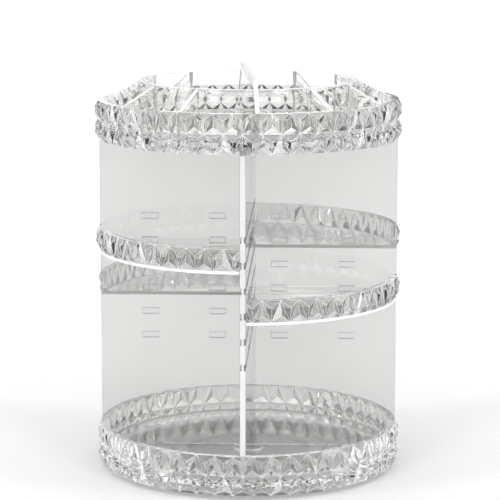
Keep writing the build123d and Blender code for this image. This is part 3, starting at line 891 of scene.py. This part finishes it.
def screw(skin, centre, head_radius, low, seat, shank_radius, tip):
    """Pan head with a cross pressed in where both arms' distances allow, and a shank ringed by its thread."""
    bearing = foot_bearing[::2]
    head_height = seat - low
    pan_rise, cross_depth = 0.25 * head_height, 0.6 * head_height
    arm_width, arm_length, arm_slope = 0.14 * head_radius, 0.62 * head_radius, 0.1 * head_radius
    pitch, thread_depth = 0.4 * shank_radius, 0.14
    # The head's face, in rows out to where its edge bends away
    face_share, face_rows = 0.8, 13
    face = np.linspace(0, face_share, face_rows) * head_radius
    x, y = np.abs(face[:, None] * np.sin(bearing)), np.abs(face[:, None] * np.cos(bearing))
    pressed = np.clip((arm_width - np.minimum(x, y)) / arm_slope + 0.5, 0, 1)
    pressed *= np.clip((arm_length - np.maximum(x, y)) / arm_slope + 0.5, 0, 1)
    face_height = low + pan_rise * (face[:, None] / head_radius) ** 4 + cross_depth * pressed
    edge, edge_height = head_radius * np.array([0.95, 1.0]), low + pan_rise * np.array([0.95, 1.6])
    turns = int((tip - seat) / pitch) - 1
    thread = seat + pitch * (0.5 + np.arange(2 * turns) / 2)
    crest = shank_radius * (1 - thread_depth * (np.arange(2 * turns) % 2))
    radii = np.array([*face, *edge, head_radius, shank_radius, *crest, 0.6 * shank_radius, 0])
    heights = np.array([*edge_height, seat - contact, seat - contact, *thread, tip, tip])
    heights = np.broadcast_to(heights[:, None], (len(heights), len(bearing)))
    skin.turn(radii, np.concatenate([face_height, heights]), bearing, centre)


def make_screws():
    """Four screws up through the race into the base tray, and the pivot screw up into its boss."""
    skin = Skin()
    low, tip = heights_of("race_screws")
    for place in track_places(race_screw_track, race_screw_count, race_screw_start):
        screw(skin, place, race_screw_head, low, race_screw_seat, race_screw_shank, tip)
    skin.make("race_fixings", "race_screws", "carousel", [steel], crease=foot_crease)
    skin = Skin()
    low, tip = heights_of("pivot_screw")
    washer_low = heights_of("pivot_washer")[0]
    screw(skin, (0, 0), pivot_screw_head, low, washer_low, pivot_screw_shank, tip)
    skin.make("pivot_fixing", "pivot_screw", "carousel", [steel], crease=foot_crease)


def make_pivot_rings():
    """Bush that turns in the hub, and the washer that holds it up: rings with soft corners."""
    bore = pivot_ring_bore
    for name, node in (("pivot_sleeve", "pivot_bush"), ("pivot_disc", "pivot_washer")):
        low, high = heights_of(node)
        outer = reach_of(node)
        outline = [(bore, low), (outer, low), (outer, high - contact), (bore, high - contact)]
        make_ring_piece(name, node, "carousel", steel, outline, pivot_ring_soft)


make_base_tray()
make_dividers()
upper_level, lower_level = shelf_levels[4], shelf_levels[2]
for place, level, quarter_turns in (("rear_right", upper_level, 0), ("rear_left", lower_level, 1),
                                    ("front_left", upper_level, 2), ("front_right", lower_level, 3)):
    make_shelf(place, level, quarter_turns * math.pi / 2)
make_top_tray()
make_ring()
make_fins()
make_centre_wall()
make_foot_plate()
make_pads()
make_lower_race()
make_balls()
make_cage()
make_upper_race()
make_screws()
make_pivot_rings()

# Pale floor
floor_radius = 40.0
floor_columns = 96
floor_points = polar(floor_radius, spaced(floor_columns), 0)
floor_mesh = bpy.data.meshes.new("floor")
floor_mesh.from_pydata(floor_points.tolist(), [], [list(range(floor_columns))])
floor = bpy.data.objects.new("floor", floor_mesh)
scene.collection.objects.link(floor)
floor_mesh.materials.append(principled("pale floor", (0.93, 0.93, 0.93), Roughness=0.9))

# Studio dome: bright overhead, with upright soft boxes and dark gaps between them round the horizon.
# The front half also has a weak even fill, and taller bright strips that stop short of the middle.
box_count = 10
box_turn = 0.35
box_strength = 4.5
fill_strength = 0.6
strip_strength = 6.0
dome_strength = 0.95
world = bpy.data.worlds.new("studio dome")
scene.world = world
world.use_nodes = True
dome = world.node_tree
background = dome.nodes["Background"]
direction = dome.nodes.new("ShaderNodeTexCoord")
split = dome.nodes.new("ShaderNodeSeparateXYZ")
dome.links.new(direction.outputs["Generated"], split.inputs[0])
right, back, up = split.outputs


def dome_math(operation, first, second):
    """One step of arithmetic on the dome's direction; a number or an output for each side."""
    node = dome.nodes.new("ShaderNodeMath")
    node.operation = operation
    for socket, value in zip(node.inputs, (first, second)):
        if isinstance(value, (int, float)):
            socket.default_value = value
        else:
            dome.links.new(value, socket)
    return node.outputs[0]


def dome_ramp(value, *stops):
    """Grey levels at places along a value."""
    node = dome.nodes.new("ShaderNodeValToRGB")
    elements = node.color_ramp.elements
    for place, level in stops[1:-1]:
        elements.new(place)
    for element, (place, level) in zip(elements, stops):
        element.position = place
        element.color = (level, level, level, 1)
    dome.links.new(value, node.inputs[0])
    return node.outputs[0]


# A wave round the horizon, whose crests are the boxes and strips, and the share of the way to the front
around = dome_math("MULTIPLY", dome_math("ARCTAN2", right, back), box_count)
wave = dome_math("SINE", dome_math("ADD", around, box_turn * FULL_TURN), 0)
wave = dome_math("ADD", dome_math("MULTIPLY", wave, 0.5), 0.5)
forward = dome_math("SUBTRACT", 0.5, dome_math("MULTIPLY", back, 0.5))

# Soft boxes and front fill, both low, and the bright top
box_crests = dome_ramp(wave, (0.0, 0.0), (0.78, 0.0), (0.86, 1.0), (1.0, 1.0))
beside = dome_ramp(forward, (0.0, 0.38), (0.25, 0.38), (0.45, 1.0), (1.0, 1.0))
front = dome_ramp(forward, (0.0, 0.0), (0.45, 0.0), (0.85, 0.9), (1.0, 1.0))
low = dome_ramp(up, (0.0, 0.8), (0.16, 0.8), (0.34, 0.0), (1.0, 0.0))
high = dome_ramp(up, (0.0, 0.0), (0.2, 0.03), (0.34, 0.8), (0.7, 1.0))
boxes = dome_math("MULTIPLY", dome_math("MULTIPLY", box_crests, beside), box_strength)
fill = dome_math("MAXIMUM", boxes, dome_math("MULTIPLY", front, fill_strength))

# Tall strips on the front half
strip_crests = dome_ramp(wave, (0.0, 0.0), (0.62, 0.0), (0.7, 1.0), (1.0, 1.0))
strips = dome_ramp(forward, (0.0, 0.0), (0.4, 0.0), (0.6, 1.0), (0.93, 1.0), (0.96, 0.0), (1.0, 0.0))
tall = dome_ramp(up, (0.0, 0.0), (0.08, 0.0), (0.14, 1.0), (0.5, 1.0), (0.6, 0.0), (1.0, 0.0))
strips = dome_math("MULTIPLY", dome_math("MULTIPLY", strips, tall), strip_crests)
strips = dome_math("MULTIPLY", strips, strip_strength)

light = dome_math("ADD", dome_math("ADD", dome_math("MULTIPLY", fill, low), high), strips)
dome.links.new(light, background.inputs["Color"])
background.inputs["Strength"].default_value = dome_strength

# Camera at the photograph's view: turned towards the right, pitched down, and its place from the axis
camera_data = bpy.data.cameras.new("camera")
camera = bpy.data.objects.new("camera", camera_data)
scene.collection.objects.link(camera)
scene.camera = camera
camera_turn, camera_pitch = math.radians(2.04), math.radians(9.84)
camera_away, camera_aside, camera_height = 1.610, 0.00123, 0.4466
turn_cos, turn_sin = math.cos(camera_turn), math.sin(camera_turn)
camera.location = (camera_away * turn_sin + camera_aside * turn_cos,
                   -camera_away * turn_cos + camera_aside * turn_sin, camera_height)
camera.rotation_euler = (math.pi / 2 - camera_pitch, 0, camera_turn)
camera_data.sensor_width = 36
camera_data.lens = 152.06
camera_data.clip_end = 200

# Light passes many clear walls before it ends
light_bounces = 64
scene.view_settings.view_transform = "Standard"
scene.cycles.max_bounces = light_bounces
scene.cycles.transmission_bounces = light_bounces
scene.cycles.glossy_bounces = light_bounces
scene.cycles.transparent_max_bounces = 16
scene.cycles.use_denoising = True
